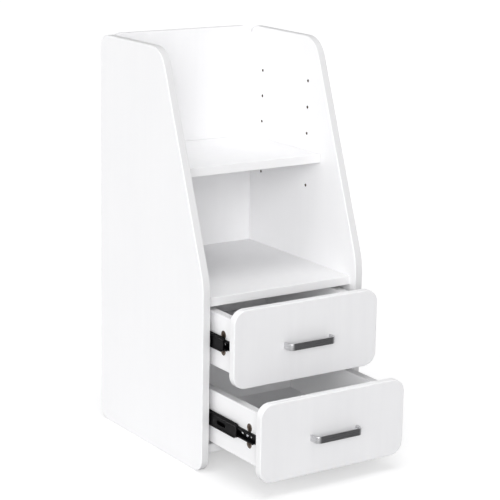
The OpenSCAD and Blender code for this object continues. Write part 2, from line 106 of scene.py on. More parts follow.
studio_sun("front_light", (0.54, 0.81, -0.24), 2.15, 40)
studio_sun("top_light", (0.05, 0.05, -1), 1.00, 40)
studio_sun("left_light", (1, 0.12, -0.28), 0.46, 40)

floor_size = 60
floor_lift = 0.46
floor_mesh = bpy.data.meshes.new("studio_floor")
floor_mesh.from_pydata([(-floor_size, -floor_size, 0), (floor_size, -floor_size, 0),
                        (floor_size, floor_size, 0), (-floor_size, floor_size, 0)],
                       [], [(0, 1, 2, 3)])
studio_floor = bpy.data.objects.new("studio_floor", floor_mesh)
scene.collection.objects.link(studio_floor)
floor_paint = bpy.data.materials.new("floor_paint")
floor_paint.use_nodes = True
floor_shader = floor_paint.node_tree.nodes["Principled BSDF"]
floor_shader.inputs["Base Color"].default_value = (0.64, 0.64, 0.645, 1)
floor_shader.inputs["Roughness"].default_value = 0.9
floor_shader.inputs["Specular IOR Level"].default_value = 0.1
floor_shader.inputs["Emission Color"].default_value = (1, 1, 1, 1)
nodes, links = floor_paint.node_tree.nodes, floor_paint.node_tree.links
seen = nodes.new("ShaderNodeLightPath")
level = nodes.new("ShaderNodeMapRange")
level.inputs["To Max"].default_value = floor_lift
links.new(seen.outputs["Is Camera Ray"], level.inputs["Value"])
links.new(level.outputs["Result"], floor_shader.inputs["Emission Strength"])
floor_mesh.materials.append(floor_paint)

# ---------------------------------------------------------------- side boards
# Two 16 mm particle boards faced with satin white melamine, sawn to a sloping outline. A white plastic
# band is glued round the edge and its arrises are rounded over. The inner faces are drilled for 5 mm
# shelf pins in two columns.


def shader_group(name, values, outputs):
    """A new shader node group with a Vector input, number inputs with their values, and number outputs;
    returns it with its nodes, links, input and output."""
    group = bpy.data.node_groups.new(name, "ShaderNodeTree")
    group.interface.new_socket("Vector", in_out="INPUT", socket_type="NodeSocketVector")
    for label, value in values.items():
        socket = group.interface.new_socket(label, in_out="INPUT", socket_type="NodeSocketFloat")
        socket.default_value = value
    for label in outputs:
        group.interface.new_socket(label, in_out="OUTPUT", socket_type="NodeSocketFloat")
    nodes = group.nodes
    return group, nodes, group.links, nodes.new("NodeGroupInput"), nodes.new("NodeGroupOutput")


def put(nodes, kind, **settings):
    """A new node with its settings; a setting that names a socket gives that socket its value."""
    node = nodes.new(kind)
    for key, value in settings.items():
        if hasattr(node, key):
            setattr(node, key, value)
        else:
            node.inputs[key.replace("_", " ")].default_value = value
    return node


def feed(links, socket, value):
    """Gives a socket its own value, or links another node's output to it."""
    if isinstance(value, (int, float, tuple)):
        socket.default_value = value
    else:
        links.new(value, socket)


def noise(nodes, links, vector, scale, detail=3.0, rough=0.5):
    node = put(nodes, "ShaderNodeTexNoise")
    node.inputs["Detail"].default_value = detail
    node.inputs["Roughness"].default_value = rough
    feed(links, node.inputs["Scale"], scale)
    links.new(vector, node.inputs["Vector"])
    return node.outputs["Fac"]


def ranged(nodes, links, value, low, high, to_low, to_high):
    node = put(nodes, "ShaderNodeMapRange")
    node.inputs["From Min"].default_value = low
    node.inputs["From Max"].default_value = high
    feed(links, node.inputs["To Min"], to_low)
    feed(links, node.inputs["To Max"], to_high)
    links.new(value, node.inputs["Value"])
    return node.outputs["Result"]


def maths(nodes, links, operation, first, second):
    node = put(nodes, "ShaderNodeMath", operation=operation)
    feed(links, node.inputs[0], first)
    feed(links, node.inputs[1], second)
    return node.outputs["Value"]


def mixed(nodes, links, factor, first, second):
    node = put(nodes, "ShaderNodeMix", data_type="RGBA")
    links.new(factor, node.inputs["Factor"])
    ends = [socket for socket in node.inputs if socket.type == "RGBA"]
    feed(links, ends[0], first)
    feed(links, ends[1], second)
    return [s for s in node.outputs if s.type == "RGBA"][0]


# The rubbed arrises that every hard piece shows: a mask from the piece's own arris marks, broken up.
edge_wear, n, l, gin, gout = shader_group("edge_wear", {"Break-up": 90.0, "Amount": 0.5}, ["Mask"])
marks = put(n, "ShaderNodeAttribute", attribute_name="arris")
broken = ranged(n, l, noise(n, l, gin.outputs["Vector"], gin.outputs["Break-up"], 4.0, 0.6),
                0.42, 0.66, 0.0, 1.0)
l.new(maths(n, l, "MULTIPLY", maths(n, l, "MULTIPLY", marks.outputs["Fac"], broken),
            gin.outputs["Amount"]), gout.inputs["Mask"])

# The faint cloudiness and fine scuffs of any surface that has been handled and wiped.
handled, n, l, gin, gout = shader_group(
    "handled_surface", {"Cloud scale": 9.0, "Scuff scale": 160.0}, ["Cloud", "Scuffs"])
l.new(noise(n, l, gin.outputs["Vector"], gin.outputs["Cloud scale"], 4.0, 0.55), gout.inputs["Cloud"])
stretched = put(n, "ShaderNodeMapping")
stretched.inputs["Rotation"].default_value = (0.3, 0.5, 0.7)
stretched.inputs["Scale"].default_value = (0.12, 1.0, 1.0)
l.new(gin.outputs["Vector"], stretched.inputs["Vector"])
scuffs = ranged(n, l, noise(n, l, stretched.outputs["Vector"], gin.outputs["Scuff scale"], 2.0, 0.4),
                0.60, 0.74, 0.0, 1.0)
l.new(scuffs, gout.inputs["Scuffs"])

# Melamine's pressed texture: a fine satin pearl with a very faint open grain along the board.
pearl, n, l, gin, gout = shader_group(
    "melamine_pearl", {"Pearl scale": 700.0, "Grain scale": 60.0}, ["Height", "Grain"])
along = put(n, "ShaderNodeMapping")
along.inputs["Scale"].default_value = (1.0, 1.0, 0.06)
l.new(gin.outputs["Vector"], along.inputs["Vector"])
grain = noise(n, l, along.outputs["Vector"], gin.outputs["Grain scale"], 5.0, 0.6)
fine = noise(n, l, gin.outputs["Vector"], gin.outputs["Pearl scale"], 2.0, 0.5)
l.new(maths(n, l, "ADD", maths(n, l, "MULTIPLY", fine, 0.7), maths(n, l, "MULTIPLY", grain, 0.3)),
      gout.inputs["Height"])
l.new(grain, gout.inputs["Grain"])


def new_material(name):
    """A material with its shader, a bump feeding its normal, and object coordinates to read."""
    material = bpy.data.materials.new(name)
    material.use_nodes = True
    nodes, links = material.node_tree.nodes, material.node_tree.links
    shader = nodes["Principled BSDF"]
    bump = nodes.new("ShaderNodeBump")
    links.new(bump.outputs["Normal"], shader.inputs["Normal"])
    where = nodes.new("ShaderNodeTexCoord").outputs["Object"]
    return material, nodes, links, shader, bump, where


def group_node(nodes, links, group, where, **values):
    node = nodes.new("ShaderNodeGroup")
    node.node_tree = group
    links.new(where, node.inputs["Vector"])
    for label, value in values.items():
        node.inputs[label.replace("_", " ")].default_value = value
    return node


def melamine(name, white, shade, band, roughness=0.38):
    """Satin white melamine: white and shade are its two tones, band is the glued edge's colour; on the
    white boards the band tone is set darker than the sides' white face, which paints shade on their edges.
    """
    material, nodes, links, shader, bump, where = new_material(name)
    skin = group_node(nodes, links, pearl, where)
    use = group_node(nodes, links, handled, where)
    wear = group_node(nodes, links, edge_wear, where, Amount=0.55)
    banded = put(nodes, "ShaderNodeAttribute", attribute_name="band")
    tone = ranged(nodes, links, maths(nodes, links, "ADD", use.outputs["Cloud"], skin.outputs["Grain"]),
                  0.75, 1.25, 0.0, 1.0)
    face = mixed(nodes, links, tone, white, shade)
    edged = mixed(nodes, links, banded.outputs["Fac"], face, band)
    rubbed = mixed(nodes, links, wear.outputs["Mask"], edged, tuple(0.94 * c for c in white[:3]) + (1,))
    links.new(rubbed, shader.inputs["Base Color"])
    satin = ranged(nodes, links, use.outputs["Cloud"], 0.3, 0.7, roughness - 0.04, roughness + 0.05)
    dulled = maths(nodes, links, "ADD", satin,
                   maths(nodes, links, "MULTIPLY", use.outputs["Scuffs"], 0.06))
    links.new(maths(nodes, links, "SUBTRACT", dulled,
                    maths(nodes, links, "MULTIPLY", wear.outputs["Mask"], 0.1)),
              shader.inputs["Roughness"])
    links.new(skin.outputs["Height"], bump.inputs["Height"])
    bump.inputs["Strength"].default_value = 0.35
    bump.inputs["Distance"].default_value = 0.0001
    shader.inputs["Specular IOR Level"].default_value = 0.42
    return material


# The sides' band tone is far darker than their face: painted shade on the edges of the sides and the drawer
# boxes.
side_white = melamine("side_melamine", (0.955, 0.954, 0.962, 1), (0.938, 0.937, 0.947, 1),
                      (0.700, 0.699, 0.706, 1))


# Chipboard laid bare in the drillings: coarse brown flakes, kept far darker than bare chipboard as painted
# shade inside the holes.
chipboard_painted_hole_shade, nodes, links, shader, bump, where = new_material("raw_chipboard_painted_shade")
flakes = noise(nodes, links, where, 700.0, 4.0, 0.7)
links.new(mixed(nodes, links, ranged(nodes, links, flakes, 0.35, 0.65, 0.0, 1.0),
                (0.060, 0.042, 0.026, 1), (0.115, 0.084, 0.054, 1)), shader.inputs["Base Color"])
links.new(ranged(nodes, links, flakes, 0.3, 0.7, 0.8, 0.95), shader.inputs["Roughness"])
links.new(flakes, bump.inputs["Height"])
bump.inputs["Distance"].default_value = 0.0003
shader.inputs["Specular IOR Level"].default_value = 0.15


def rounded_outline(corners, radii, steps=14):
    """The corners run anticlockwise; each gets an arc of its own radius, or stays square at 0."""
    outline = []
    for i, (corner, radius) in enumerate(zip(corners, radii)):
        here = Vector(corner)
        before = (Vector(corners[i - 1]) - here).normalized()
        after = (Vector(corners[(i + 1) % len(corners)]) - here).normalized()
        if radius == 0:
            outline.append(here)
            continue
        half = math.acos(max(-1, min(1, before.dot(after)))) / 2
        centre = here + (before + after).normalized() * (radius / math.sin(half))
        start = here + before * (radius / math.tan(half)) - centre
        sweep = math.pi - 2 * half
        for k in range(steps + 1):
            turn = sweep * k / steps
            outline.append(centre + Vector((start.x * math.cos(turn) - start.y * math.sin(turn),
                                            start.x * math.sin(turn) + start.y * math.cos(turn))))
    return outline


def axes(u, v, w, origin):
    """A placement that turns a board's own length, height and thickness into the row's directions."""
    return Matrix.Translation(origin) @ Matrix((u, v, w)).transposed().to_4x4()


def drilled(bm, u, v, radius, depth, sides=28, rim=0.0002):
    """One blind hole into the face at w = 0: returns the loop of its mouth."""
    loops = []
    for r, w in ((radius + rim, 0), (radius, rim), (radius, depth)):
        loops.append([bm.verts.new((u + r * math.cos(2 * math.pi * k / sides),
                                    v + r * math.sin(2 * math.pi * k / sides), w))
                      for k in range(sides)])
    for a, b in zip(loops, loops[1:]):
        for k in range(sides):
            bm.faces.new((a[k], a[k - 1], b[k - 1], b[k])).material_index = 1
    bm.faces.new(loops[-1]).material_index = 1
    return loops[0]


def routed_board(name, outline, thickness, place, arris, material, holes=()):
    """A board cut to an outline, its arrises rounded over and its blind holes drilled.

    arris is one radius, or one for each side of the outline. The holes go in from the face at w = 0;
    a hole is (u, v, radius, depth)."""
    bm = bmesh.new()
    arris_mark = bm.verts.layers.float.new("arris")
    band_mark = bm.verts.layers.float.new("band")
    count = len(outline)
    radii = [arris] * count if isinstance(arris, float) else list(arris)
    inward = []
    for i, point in enumerate(outline):
        edge = (outline[(i + 1) % count] - point).normalized()
        inward.append(Vector((-edge.y, edge.x)))

    def inset(i, share):
        n1, n2 = inward[i - 1], inward[i]
        d1, d2 = radii[i - 1] * share, radii[i] * share
        det = n1.x * n2.y - n1.y * n2.x
        if abs(det) < 0.02:
            return (n1 + n2).normalized() * (d1 + d2) / 2
        return Vector(((d1 * n2.y - d2 * n1.y) / det, (d2 * n1.x - d1 * n2.x) / det))

    steps = 5
    rings = []
    for side in (0, 1):
        for k in range(steps + 1):
            angle = math.pi / 2 * (k if side == 0 else steps - k) / steps
            ring = []
            for i, point in enumerate(outline):
                at = point + inset(i, 1 - math.sin(angle))
                lift = max(radii[i - 1], radii[i]) * (1 - math.cos(angle))
                vert = bm.verts.new((at.x, at.y, lift if side == 0 else thickness - lift))
                vert[arris_mark] = math.sin(2 * angle)
                vert[band_mark] = min(1.0, 2 * angle / math.pi + 0.001) if angle > 0.01 else 0.0
                ring.append(vert)
            rings.append(ring)
    for a, b in zip(rings, rings[1:]):
        for i in range(count):
            bm.faces.new((a[i - 1], a[i], b[i], b[i - 1]))
    if holes:
        loops = [rings[0]] + [drilled(bm, *hole) for hole in holes]
        edges = [bm.edges.get((a, b)) for loop in loops for a, b in zip(loop, loop[1:] + loop[:1])]
        bmesh.ops.triangle_fill(bm, use_beauty=True, edges=edges)
    else:
        bm.faces.new(rings[0])
    bm.faces.new(rings[-1])
    bmesh.ops.transform(bm, matrix=place, verts=bm.verts)
    bmesh.ops.recalc_face_normals(bm, faces=bm.faces)
    return as_piece(name, bm, material, chipboard_painted_hole_shade)


def rectangle(u0, v0, u1, v1):
    return [Vector(p) for p in ((u0, v0), (u1, v0), (u1, v1), (u0, v1))]


def as_piece(name, bm, *materials, smooth_below=38):
    """Turns a finished bmesh into an object at the origin, with smooth arcs and crisp flats."""
    mesh = bpy.data.meshes.new(name)
    bm.to_mesh(mesh)
    bm.free()
    for material in materials:
        mesh.materials.append(material)
    mesh.polygons.foreach_set("use_smooth", [True] * len(mesh.polygons))
    mesh.set_sharp_from_angle(angle=math.radians(smooth_below))
    piece = bpy.data.objects.new(name, mesh)
    scene.collection.objects.link(piece)
    flats = piece.modifiers.new("flat_faces", "WEIGHTED_NORMAL")
    flats.keep_sharp = True
    return piece


def stands_for(piece, body, slot, *nodes):
    """The piece rides on its body and is shown in place of its CAD nodes; slot is not used."""
    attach(piece, body)
    if nodes:
        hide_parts(*nodes)
    return piece


side_top_depth = 0.220
side_brow_rise = 0.029
side_corner_r = 0.025
side_crown_r = 0.050
side_brow_r = 0.130
side_arris = 0.0020
pin_hole_r = 0.0026
pin_hole_depth = 0.009
pin_first, pin_pitch = 0.145, 0.050
pin_columns = (0.050, 0.202)

shelf_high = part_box("fixed_shelf")[1]
side_outline = rounded_outline(
    [(case_low.y, 0), (case_high.y, 0), (case_high.y, case_high.z),
     (case_high.y - side_top_depth, case_high.z), (case_low.y, shelf_high.z + side_brow_rise)],
    [side_corner_r, side_corner_r, side_corner_r, side_crown_r, side_brow_r])
pin_rows = 5
pin_holes = [(case_high.y - column, shelf_high.z + pin_first + row * pin_pitch, pin_hole_r, pin_hole_depth)
             for row in range(pin_rows) for column in pin_columns]
for hand, node in ((-1, "side_left"), (1, "side_right")):
    low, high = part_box(node)
    inner_x = high.x if hand < 0 else low.x
    side = routed_board(node + "_board", side_outline, high.x - low.x,
                        axes((0, 1, 0), (0, 0, 1), (hand, 0, 0), (inner_x, 0, 0)),
                        side_arris, side_white, holes=pin_holes)
    stands_for(side, "case", "white_board", node)

# ---------------------------------------------------------------- back board
# A thinner melamine board that stands between the sides, flush with their rear edges. Its top corners
# are rounded, and cam locks and screws are let into its rear face.

# This copy of the melamine is darker than the sides' white, and its band darker still: painted shade on the
# back board and the shelves.
board_white_painted_shade = melamine("board_melamine_painted_shade", (0.875, 0.874, 0.882, 1), (0.855, 0.854, 0.864, 1),
                       (0.825, 0.824, 0.831, 1))
back_corner_r = 0.025
back_arris = 0.0010
back_lock_r = 0.0060
back_lock_inset = 0.0335
back_lock_depth = 0.0105
back_lock_heights = (0.110, 0.400, 0.690)
low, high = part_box("back_panel")
back_outline = rounded_outline([(low.x, low.z), (high.x, low.z), (high.x, high.z), (low.x, high.z)],
                               [0, 0, back_corner_r, back_corner_r])
back_holes = [(x, z, back_lock_r, back_lock_depth)
              for z in back_lock_heights for x in (low.x + back_lock_inset, high.x - back_lock_inset)]
back_board = routed_board("back_board", back_outline, high.y - low.y,
                          axes((1, 0, 0), (0, 0, 1), (0, -1, 0), (0, high.y, 0)),
                          back_arris, board_white_painted_shade, holes=back_holes)
stands_for(back_board, "case", "white_board", "back_panel")

# ---------------------------------------------------------------- fixed shelf and bottom board
# 16 mm melamine boards joined into the sides with cam locks and dowels. Only the front edge shows
# its band, so only that one is rounded; the others are butted tight.

shelf_arris = 0.0010
butt_arris = 0.0005
case_lock_r = 0.0075
case_lock_inset = 0.0335
case_lock_back = 0.060
case_lock_depth = 0.0124


def banded_shelf(name, node, locks):
    low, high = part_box(node)
    outline = rectangle(low.x, low.y, high.x, high.y)
    holes = [(x, y, case_lock_r, case_lock_depth)
             for x in (low.x + case_lock_inset, high.x - case_lock_inset)
             for y in (low.y + case_lock_back, high.y - case_lock_back)] if locks else ()
    return routed_board(name, outline, high.z - low.z,
                        axes((1, 0, 0), (0, 1, 0), (0, 0, 1), (0, 0, low.z)),
                        [shelf_arris, butt_arris, butt_arris, butt_arris], board_white_painted_shade,
                        holes=holes)


for node in ("fixed_shelf", "bottom_panel"):
    stands_for(banded_shelf(node + "_board", node, True), "case", "white_board", node)

# ---------------------------------------------------------------- adjustable shelf
# A loose board of the same melamine that rests on four pins and lifts out at the top.

loose_shelf = banded_shelf("adjustable_shelf_board", "adjustable_shelf", False)
stands_for(loose_shelf, "shelf", "white_board", "adjustable_shelf")

# ---------------------------------------------------------------- shelf pins
# Turned steel pins, zinc plated, pushed into the drillings. The half that sticks out is milled flat on
# top for the shelf.


def turned(bm, profile, sides=32):
    """A solid of revolution about z; the profile is (radius, height) from its foot to its top."""
    loops = []
    for radius, height in profile:
        if radius == 0:
            loops.append([bm.verts.new((0, 0, height))])
        else:
            loops.append([bm.verts.new((radius * math.cos(2 * math.pi * k / sides),
                                        radius * math.sin(2 * math.pi * k / sides), height))
                          for k in range(sides)])
    for a, b in zip(loops, loops[1:]):
        for k in range(sides):
            corners = [a[k - 1] if len(a) > 1 else a[0], a[k] if len(a) > 1 else a[0],
                       b[k] if len(b) > 1 else b[0], b[k - 1] if len(b) > 1 else b[0]]
            unique = list(dict.fromkeys(corners))
            if len(unique) > 2:
                bm.faces.new(unique)
    for loop in (loops[0], loops[-1]):
        if len(loop) > 1:
            bm.faces.new(loop)
    bmesh.ops.recalc_face_normals(bm, faces=bm.faces)


def cut_away(piece, *cutters):
    """Cuts the cutters' shapes out of the piece and removes them."""
    for cutter in cutters:
        cut = piece.modifiers.new("cut", "BOOLEAN")
        cut.operation, cut.solver, cut.object = "DIFFERENCE", "EXACT", cutter
    graph = bpy.context.evaluated_depsgraph_get()
    mesh = bpy.data.meshes.new_from_object(piece.evaluated_get(graph), depsgraph=graph)
    piece.modifiers.clear()
    piece.data = mesh
    for cutter in cutters:
        bpy.data.objects.remove(cutter)
    return piece


def block(name, low, high):
    """A plain block to cut with."""
    bm = bmesh.new()
    bmesh.ops.create_cube(bm, size=1)
    for vert in bm.verts:
        vert.co = Vector([low[i] + (vert.co[i] + 0.5) * (high[i] - low[i]) for i in range(3)])
    mesh = bpy.data.meshes.new(name)
    bm.to_mesh(mesh)
    bm.free()
    cutter = bpy.data.objects.new(name, mesh)
    scene.collection.objects.link(cutter)
    return cutter


def cross(reach, half, foot, top):
    """The two blocks that cut a cross slot."""
    return (block("cross_a", (-reach, -half, foot), (reach, half, top)),
            block("cross_b", (-half, -reach, foot), (half, reach, top)))


def plain_part(name, bm, material):
    part = as_piece(name, bm, material)
    part.modifiers.clear()
    return part


def geometry_tree(name, output, *inputs):
    """An empty geometry tree with its named inputs, (label, kind), and one geometry output."""
    tree = bpy.data.node_groups.new(name, "GeometryNodeTree")
    for label, kind in inputs:
        tree.interface.new_socket(label, in_out="INPUT", socket_type="NodeSocket" + kind)
    tree.interface.new_socket(output, in_out="OUTPUT", socket_type="NodeSocketGeometry")
    n = tree.nodes
    return tree, n, tree.links, n.new("NodeGroupInput"), n.new("NodeGroupOutput")


# Instances of one part at marked places, made real and given their finish.
layout, n, l, gin, gout = geometry_tree(
    "parts_at_places", "Parts", ("Places", "Geometry"), ("Part", "Object"), ("Part size", "Float"),
    ("Finish", "Material"))
turn = put(n, "GeometryNodeInputNamedAttribute", data_type="FLOAT_VECTOR")
turn.inputs["Name"].default_value = "turn"
to_rotation = n.new("FunctionNodeEulerToRotation")
part_info = n.new("GeometryNodeObjectInfo")
spread = n.new("GeometryNodeInstanceOnPoints")
real = n.new("GeometryNodeRealizeInstances")
finish = n.new("GeometryNodeSetMaterial")
l.new(gin.outputs["Part"], part_info.inputs["Object"])
l.new(turn.outputs[0], to_rotation.inputs[0])
l.new(gin.outputs["Places"], spread.inputs["Points"])
l.new(part_info.outputs["Geometry"], spread.inputs["Instance"])
l.new(to_rotation.outputs[0], spread.inputs["Rotation"])
l.new(gin.outputs["Part size"], spread.inputs["Scale"])
l.new(spread.outputs["Instances"], real.inputs["Geometry"])
l.new(real.outputs["Geometry"], finish.inputs["Geometry"])
l.new(gin.outputs["Finish"], finish.inputs["Material"])
l.new(finish.outputs["Geometry"], gout.inputs["Parts"])


def grown(name, tree, values, carrier=None):
    """Runs a geometry tree with its named inputs and returns the result as a plain mesh object."""
    holder = bpy.data.objects.new(name, carrier or bpy.data.meshes.new(name + "_start"))
    scene.collection.objects.link(holder)
    maker = holder.modifiers.new("maker", "NODES")
    maker.node_group = tree
    sockets = {s.name: s.identifier for s in tree.interface.items_tree
               if s.item_type == "SOCKET" and s.in_out == "INPUT"}
    for label, value in values.items():
        maker[sockets[label]] = value
    holder.update_tag()
    graph = bpy.context.evaluated_depsgraph_get()
    mesh = bpy.data.meshes.new_from_object(holder.evaluated_get(graph), depsgraph=graph)
    holder.modifiers.remove(maker)
    holder.data = mesh
    mesh.name = name
    return holder


def laid_out(name, part, places, material):
    """The part repeated at each place, which is (position, turn about x, y and z)."""
    carrier = bpy.data.meshes.new(name + "_places")
    carrier.from_pydata([p for p, _ in places], [], [])
    marks = carrier.attributes.new("turn", "FLOAT_VECTOR", "POINT")
    for mark, (_, angles) in zip(marks.data, places):
        mark.vector = angles
    piece = grown(name, layout, {"Part": part, "Part size": 1.0, "Finish": material}, carrier)
    bpy.data.objects.remove(part)
    return piece


def plated_steel(name, light, dark, roughness, scratch=900.0):
    """Bright zinc or polished steel: cloudy plating with fine scratches."""
    material, nodes, links, shader, bump, where = new_material(name)
    use = group_node(nodes, links, handled, where, Cloud_scale=220.0, Scuff_scale=scratch)
    wear = group_node(nodes, links, edge_wear, where, Amount=0.5)
    cloud = ranged(nodes, links, use.outputs["Cloud"], 0.35, 0.65, 0.0, 1.0)
    tone = mixed(nodes, links, cloud, light, dark)
    worn = tuple(min(1, 1.2 * c) for c in light[:3]) + (1,)
    links.new(mixed(nodes, links, wear.outputs["Mask"], tone, worn), shader.inputs["Base Color"])
    links.new(ranged(nodes, links, use.outputs["Scuffs"], 0.0, 1.0, roughness, roughness + 0.14),
              shader.inputs["Roughness"])
    links.new(use.outputs["Scuffs"], bump.inputs["Height"])
    bump.inputs["Strength"].default_value = 0.3
    bump.inputs["Distance"].default_value = 0.00003
    shader.inputs["Metallic"].default_value = 1.0
    return material


zinc = plated_steel("bright_zinc", (0.86, 0.86, 0.88, 1), (0.72, 0.73, 0.76, 1), 0.34)

pin_r = 0.0025
pin_in = 0.0088
pin_out = 0.0080
bm = bmesh.new()
turned(bm, [(0, -pin_in), (pin_r - 0.0006, -pin_in), (pin_r, -pin_in + 0.0006), (pin_r, 0.0001),
            (pin_r, pin_out - 0.0008), (pin_r - 0.0003, pin_out - 0.0003),
            (pin_r - 0.0008, pin_out), (0, pin_out)], 28)
pin_part = plain_part("pin_part", bm, zinc)
pin_flat = 0.0015
cut_away(pin_part, block("milling", (-0.01, pin_flat, 0.0002), (0.01, 0.01, pin_out + 0.01)))
low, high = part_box("adjustable_shelf")
pin_z = low.z - pin_flat
case_inner_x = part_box("side_right")[0].x
pin_places = []
for column in pin_columns:
    y = case_high.y - column
    pin_places.append(((case_inner_x, y, pin_z), (math.pi / 2, 0, -math.pi / 2)))
    pin_places.append(((-case_inner_x, y, pin_z), (math.pi / 2, 0, math.pi / 2)))
pins = laid_out("shelf_pin_set", pin_part, pin_places, zinc)
stands_for(pins, "case", "zinc_steel", "shelf_pins")

# ---------------------------------------------------------------- cam locks
# Die-cast zinc drums let into round pockets; a cross-slotted face turns them to draw the bolt in. They
# sit under the fixed shelf and the bottom board, in the back board and in the drawer sides.

cast_zinc = plated_steel("cast_zinc", (0.27, 0.215, 0.175, 1), (0.17, 0.135, 0.110, 1), 0.45, 500.0)


lock_side_play, lock_end_play = 0.00005, 0.0001
wide_slot, small_slot = 0.0042, 0.0034


def lock_part(pocket_r, pocket_depth, slot):
    """A drum with its face at z = 0, a raised rim, a cross slot and the passage for the bolt."""
    radius, depth = pocket_r - lock_side_play, pocket_depth - lock_end_play
    rim, sunk, foot = 0.0007, 0.0004, 0.0005
    bm = bmesh.new()
    turned(bm, [(0, -depth), (radius - foot, -depth), (radius, -depth + foot), (radius, -0.0004),
                (radius - 0.0002, -0.0001), (radius - rim, -0.0001), (radius - rim - 0.0003, -sunk),
                (0, -sunk)], 36)
    slot_half, slot_depth = 0.00085, 0.0022
    bolt_half, bolt_foot, bolt_top = 0.0035, -0.0115, -0.0048
    return cut_away(plain_part("lock_part", bm, cast_zinc), *cross(slot, slot_half, -slot_depth, 0.001),
                    block("passage", (0, -bolt_half, bolt_foot), (radius + 0.001, bolt_half, bolt_top)))


low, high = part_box("fixed_shelf")
under_places = []
for z in (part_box("fixed_shelf")[0].z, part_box("bottom_panel")[0].z):
    for x in (low.x + case_lock_inset, high.x - case_lock_inset):
        for y in (low.y + case_lock_back, high.y - case_lock_back):
            under_places.append(((x, y, z), (math.pi, 0, 0 if x > 0 else math.pi)))
board_locks = laid_out("board_cam_locks", lock_part(case_lock_r, case_lock_depth, wide_slot),
                       under_places, cast_zinc)
stands_for(board_locks, "case", "cam_zinc", "case_cam_locks")

low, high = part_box("back_panel")
rear_places = [((x, high.y, z), (-math.pi / 2, 0 if x > 0 else math.pi, 0))
               for z in back_lock_heights
               for x in (low.x + back_lock_inset, high.x - back_lock_inset)]
back_locks = laid_out("back_cam_locks", lock_part(back_lock_r, back_lock_depth, small_slot),
                      rear_places, cast_zinc)
stands_for(back_locks, "case", "cam_zinc")

# ---------------------------------------------------------------- drawer fronts
# 16 mm melamine boards with all four corners rounded and the white band run right round.

front_corner_r = 0.025
front_arris = 0.0020
drawers = ("upper", "lower")
# The fronts' melamine is a darker copy of the sides' white: painted shade on the fronts. Their band is
# lighter than their face and still darker than the sides' white.
front_white_painted_shade = melamine("front_melamine_painted_shade", (0.775, 0.774, 0.785, 1), (0.750, 0.749, 0.761, 1),
                       (0.900, 0.899, 0.906, 1))
for drawer in drawers:
    low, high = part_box(drawer + "_front")
    outline = rounded_outline([(low.x, low.z), (high.x, low.z), (high.x, high.z), (low.x, high.z)],
                              [front_corner_r] * 4)
    front = routed_board(drawer + "_front_board", outline, high.y - low.y,
                         axes((1, 0, 0), (0, 0, 1), (0, 1, 0), (0, low.y, 0)), front_arris,
                         front_white_painted_shade)
    stands_for(front, drawer + "_drawer", "white_board", drawer + "_front")

# ---------------------------------------------------------------- drawer boxes
# Sides and back of the same 16 mm board, banded on top, with a thin white hardboard bottom let into a
# groove 12 mm above the lower edge.

box_lock_r = 0.0075
box_lock_depth = 0.0124
box_lock_reach = 0.0335
box_lock_rise = 0.015
top_arris = 0.0010
groove_in = 0.0061
hardboard = melamine("hardboard_paint", (0.925, 0.925, 0.932, 1), (0.905, 0.905, 0.914, 1),
                     (0.45, 0.36, 0.27, 1), 0.5)
for drawer in drawers:
    base_low, base_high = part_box(drawer + "_box_base")
    for hand, side in ((-1, "left"), (1, "right")):
        node = f"{drawer}_box_{side}"
        low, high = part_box(node)
        outline = rectangle(low.y, low.z, high.y, high.z)
        mid_z = (low.z + high.z) / 2
        locks = [(low.y + box_lock_reach, mid_z + s * box_lock_rise, box_lock_r, box_lock_depth)
                 for s in (1, -1)]
        outer_x = high.x if hand > 0 else low.x
        board = routed_board(node + "_board", outline, high.x - low.x,
                             axes((0, 1, 0), (0, 0, 1), (-hand, 0, 0), (outer_x, 0, 0)),
                             [butt_arris, butt_arris, top_arris, butt_arris], side_white,
                             holes=locks)
        inner_face = low.x if hand > 0 else high.x
        deep = inner_face + hand * groove_in
        cut_away(board, block("groove",
                              (min(deep, inner_face - hand * 0.001), low.y - 0.001, base_low.z - 0.0001),
                              (max(deep, inner_face - hand * 0.001), high.y - 0.008, base_high.z + 0.0001)))
        stands_for(board, drawer + "_drawer", "white_board", node)
    low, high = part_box(drawer + "_box_back")
    outline = rectangle(low.x, low.z, high.x, high.z)
    rear = routed_board(drawer + "_box_back_board", outline, high.y - low.y,
                        axes((1, 0, 0), (0, 0, 1), (0, 1, 0), (0, low.y, 0)),
                        [butt_arris, butt_arris, top_arris, butt_arris], side_white)
    cut_away(rear, block("groove", (low.x - 0.001, low.y - 0.001, base_low.z - 0.0001),
                         (high.x + 0.001, low.y + groove_in, base_high.z + 0.0001)))
    stands_for(rear, drawer + "_drawer", "white_board", drawer + "_box_back")
    outline = rectangle(base_low.x, base_low.y, base_high.x, base_high.y)
    base = routed_board(drawer + "_base_sheet", outline, base_high.z - base_low.z,
                        axes((1, 0, 0), (0, 1, 0), (0, 0, 1), (0, 0, base_low.z)), 0.0002,
                        hardboard)
    stands_for(base, drawer + "_drawer", "white_hardboard", drawer + "_box_base")

    places = []
    for hand in (-1, 1):
        low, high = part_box(f"{drawer}_box_{'left' if hand < 0 else 'right'}")
        outer_x = high.x if hand > 0 else low.x
        mid_z = (low.z + high.z) / 2
        for s in (1, -1):
            places.append(((outer_x, low.y + box_lock_reach, mid_z + s * box_lock_rise),
                           (0, math.pi / 2, 0) if hand > 0 else (0, -math.pi / 2, 0)))
    locks = laid_out(drawer + "_cam_lock_set", lock_part(box_lock_r, box_lock_depth, wide_slot),
                     places, cast_zinc)
    stands_for(locks, drawer + "_drawer", "cam_zinc", drawer + "_cam_locks")

# ---------------------------------------------------------------- handles
# A flat steel bar bent twice to a shallow D and brushed along its length. The flat front is a dark grey
# steel, and the bends and the feet a much lighter grey, which is a painted highlight on the bends.

bar_height = 0.012
bar_thick = 0.0036
bar_bend = 0.0092
bar_arris = 0.0007
foot_room = 0.0007

